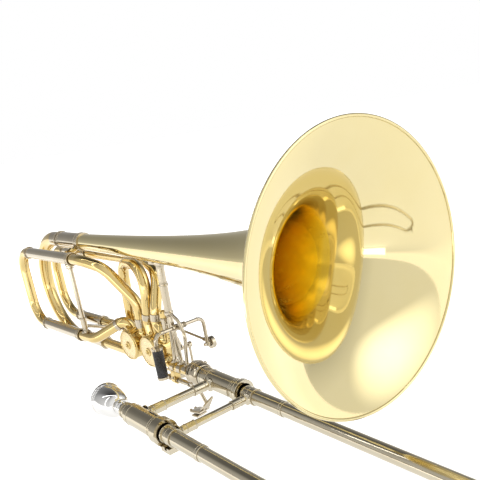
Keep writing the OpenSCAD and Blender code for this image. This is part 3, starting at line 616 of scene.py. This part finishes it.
def make_hardware(mats):
    """Screws, springs and small fittings, each on the body that carries it."""
    b = Group()
    for x in ROTOR_X:
        for s in (-1, 1):
            b.screw((x + s * 13.5, 18.0, 28), Y, 2.3, 1.5)
    b.screw((-37, -4.5, -16), -Y, 1.8, 1.2)
    b.screw((-39.4, 0, 58), -X, 1.7, 1.2)
    b.add(helix((-8, 7.3, 57), Y, 3.4, 1.0, 5, 0.42))
    b.make("frame_screws", mats["nickel"], "bell_section", "nickel_silver")

    t = Group()
    t.screw((-10, -32, 41.2), Z, 2.4, 1.4)
    for y in (-20, 30):
        t.ring((-8, y, 57), Y, 2.4, 0.5, 1.6)
    t.make("trigger_fittings", mats["nickel"], "second_trigger", "nickel_silver")

    for k, body in enumerate(("first_rotor", "second_rotor")):
        head = Group().screw((ROTOR_X[k], 27, ROTOR_Z), Y, 3.4, 1.8)
        head.make(f"rotor_screw_{k + 1}", mats["brass"], body, "nickel_silver")
    link = Group().screw((-106.5, 48, 29.5), Y, 2.6, 1.4).screw((-8, 47.5, 21), Y, 3.4, 1.4)
    link.make("trigger_link_screws", mats["nickel"], "trigger_link", "nickel_silver")
    link = Group().screw((-52.5, 40.5, 12.5), Y, 2.4, 1.3).screw((-52.5, 40, -28), Y, 2.8, 1.3)
    link.make("thumb_link_screws", mats["nickel"], "thumb_link", "nickel_silver")

    th = Group()
    th.add(helix((-28.6, 0, -19.5), X, 2.95, 1.15, 8, 0.42))
    th.ring((-18.6, 0, -19.5), X, 3.0, 0.5, 1.2)
    th.ring((-5.6, 0, -19.5), X, 3.4, 0.4, 1.0)
    th.make("thumb_spring", mats["nickel"], "thumb_lever", "nickel_silver")

    key = Group()
    at = on_slide(758, -53.5, 10.3)
    for s in (-1, 1):
        key.screw(at + Y * (s * 9.8), Y * s, 2.0, 1.2)
        key.add(helix(at + Y * (s * 3 - 1.2), Y, 3.0, 0.8, 3, 0.35))
    key.make("water_key_spring", mats["nickel"], "water_key_lever", "slide_nickel")

    felt = Group()
    for y in SLIDE_Y:
        felt.add(lathe_mesh(
            [(10.75, 48), (10.75, 55), (9.2, 56), (8.9, 55), (8.9, 48)], on_slide(0, y), SLIDE, 64))
    felt.make("barrel_felts", mats["felt"], "inner_slide", "buffer_rubber")

    nut = Group()
    for x, r, h in ((-29.4, 13.5, 0.4), (-25, 15.5, 0.35), (-21.5, 15.5, 0.35), (-9.6, 12.6, 0.5)):
        nut.ring(on_slide(x, 0), SLIDE, r, h, 0.9)
    nut.make("nut_beads", mats["nickel"], "slide_nut", "nickel_silver")


def make_felt():
    n = Nodes("black_felt")
    fibre = n.noise(1400, 5, 0.7)
    n.link(n.mix(fibre, rgb(0.006, 0.005, 0.005), rgb(0.035, 0.030, 0.028)), n.bsdf.inputs["Base Color"])
    n.bsdf.inputs["Roughness"].default_value = 0.95
    n.bsdf.inputs["Sheen Weight"].default_value = 0.2
    n.bump(fibre, 0.6, 0.0006)
    return n.mat


# ---------------------------------------------------------------- studio

def area(name, at, to, size, power, tint=(1, 1, 1)):
    lamp = bpy.data.lights.new(name, "AREA")
    lamp.shape = "RECTANGLE"
    lamp.size, lamp.size_y = size
    lamp.energy = power
    lamp.color = tint
    obj = bpy.data.objects.new(name, lamp)
    scene.collection.objects.link(obj)
    obj.location = at
    obj.rotation_euler = (Vector(to) - Vector(at)).to_track_quat("-Z", "Y").to_euler()
    return obj


FLOOR_HALF = 30.0
FLOOR_Z = -0.32
FLOOR_FRONT = (1.3, -0.7, 0)


def make_floor():
    """A pale sweep that glows, as painted light, more brightly with distance behind the instrument."""
    mesh = bpy.data.meshes.new("floor")
    s = FLOOR_HALF
    mesh.from_pydata([(-s, -s, 0), (s, -s, 0), (s, s, 0), (-s, s, 0)], [], [(0, 1, 2, 3)])
    floor = bpy.data.objects.new("floor", mesh)
    scene.collection.objects.link(floor)
    floor.location = (0, 0, FLOOR_Z)
    n = Nodes("floor_white")
    n.link(n.mix(n.noise(2, 3), rgb(0.90, 0.90, 0.90), rgb(0.93, 0.93, 0.93)), n.bsdf.inputs["Base Color"])
    n.bsdf.inputs["Roughness"].default_value = 0.9
    # painted light: the floor emits light, weakly near the instrument and more strongly with distance from
    # the front point
    n.bsdf.inputs["Emission Color"].default_value = rgb(1, 1, 1)
    reach = n.add("ShaderNodeVectorMath", operation="DISTANCE")
    n.link(n.coord, reach.inputs[0])
    reach.inputs[1].default_value = FLOOR_FRONT
    n.link(n.remap(reach.outputs["Value"], 1.7, 2.8, 0.34, 0.85), n.bsdf.inputs["Emission Strength"])
    mesh.materials.append(n.mat)


def make_studio():
    """Neutral view, enough mirror bounces for the bell's throat, and soft lights round the instrument."""
    scene.view_settings.view_transform = "Standard"
    scene.cycles.glossy_bounces = 9
    make_floor()
    make_world()
    area("key", (2.5, 1.2, 1.6), (0.2, 0, 0.1), (2.2, 2.2), 22).visible_glossy = False
    area("fill", (1.5, -1.8, 2.0), (0.2, 0, 0.1), (2.4, 2.4), 14).visible_glossy = False
    area("left", (-1.2, -2.2, 0.8), (-0.1, 0, 0.05), (1.6, 1.8), 6).visible_glossy = False
    area("low", (0.3, -1.6, -0.15), (0, 0, 0.05), (2.4, 0.25), 3)
    area("strip", (-0.3, -0.35, 1.9), (0, 0, 0.1), (0.10, 3.2), 3.4)
    area("strip_side", (-0.4, -1.7, 1.3), (0, 0, 0.1), (0.10, 2.6), 2.6)


SOFTBOX = Vector((0.82, 0.38, 0.42))
SOFTBOX_STRENGTH = 2.4


def make_world():
    """Bright in front and low down, dark above and behind, white where the camera sees it directly."""
    world = bpy.data.worlds.new("studio")
    scene.world = world
    world.use_nodes = True
    nt = world.node_tree
    nt.nodes.clear()
    out = nt.nodes.new("ShaderNodeOutputWorld")
    coord = nt.nodes.new("ShaderNodeTexCoord")
    sep = nt.nodes.new("ShaderNodeSeparateXYZ")
    nt.links.new(coord.outputs["Generated"], sep.inputs[0])

    def math_node(op, a, b):
        m = nt.nodes.new("ShaderNodeMath")
        m.operation = op
        for i, v in enumerate((a, b)):
            if isinstance(v, bpy.types.NodeSocket):
                nt.links.new(v, m.inputs[i])
            else:
                m.inputs[i].default_value = v
        return m.outputs[0]

    def half(value, stops):
        lifted = math_node("ADD", math_node("MULTIPLY", value, 0.5), 0.5)
        ramp = nt.nodes.new("ShaderNodeValToRGB")
        el = ramp.color_ramp.elements
        el[0].position, el[0].color = stops[0][0], rgb(*[stops[0][1]] * 3)
        el[1].position, el[1].color = stops[-1][0], rgb(*[stops[-1][1]] * 3)
        for pos, v in stops[1:-1]:
            el.new(pos).color = rgb(v, v, v)
        nt.links.new(lifted, ramp.inputs[0])
        return ramp.outputs[0]

    height = half(sep.outputs[2], [(0.0, 0.88), (0.48, 0.84), (0.55, 0.52), (0.66, 0.38), (0.82, 0.20),
                                   (1.0, 0.04)])
    front = half(sep.outputs[0], [(0.0, 0.0), (0.42, 0.0), (0.58, 0.66), (0.74, 0.92), (1.0, 0.98)])
    near = half(sep.outputs[1], [(0.0, 0.80), (0.22, 0.50), (0.42, 0.0), (1.0, 0.0)])
    aim = nt.nodes.new("ShaderNodeVectorMath")
    aim.operation = "DOT_PRODUCT"
    nt.links.new(coord.outputs["Generated"], aim.inputs[0])
    aim.inputs[1].default_value = SOFTBOX
    spot = half(aim.outputs["Value"], [(0.0, 0.0), (0.86, 0.0), (0.94, 0.45), (1.0, 1.0)])
    glow = math_node("MULTIPLY", spot, SOFTBOX_STRENGTH)
    both = math_node("MAXIMUM", math_node("MAXIMUM", height, front), near)
    both = math_node("MAXIMUM", both, glow)
    inner = nt.nodes.new("ShaderNodeBackground")
    nt.links.new(both, inner.inputs[0])
    white = nt.nodes.new("ShaderNodeBackground")
    white.inputs[0].default_value = rgb(1, 1, 1)
    path = nt.nodes.new("ShaderNodeLightPath")
    mix = nt.nodes.new("ShaderNodeMixShader")
    nt.links.new(path.outputs["Is Camera Ray"], mix.inputs[0])
    nt.links.new(inner.outputs[0], mix.inputs[1])
    nt.links.new(white.outputs[0], mix.inputs[2])
    nt.links.new(mix.outputs[0], out.inputs[0])


make_camera()
materials = make_materials()
dress_cad(materials)
make_bell(materials)
make_main_crook(materials)
make_caps(materials)
make_mouthpiece(materials)
make_roller(materials)
make_beads(materials)
make_hardware(materials)
make_studio()
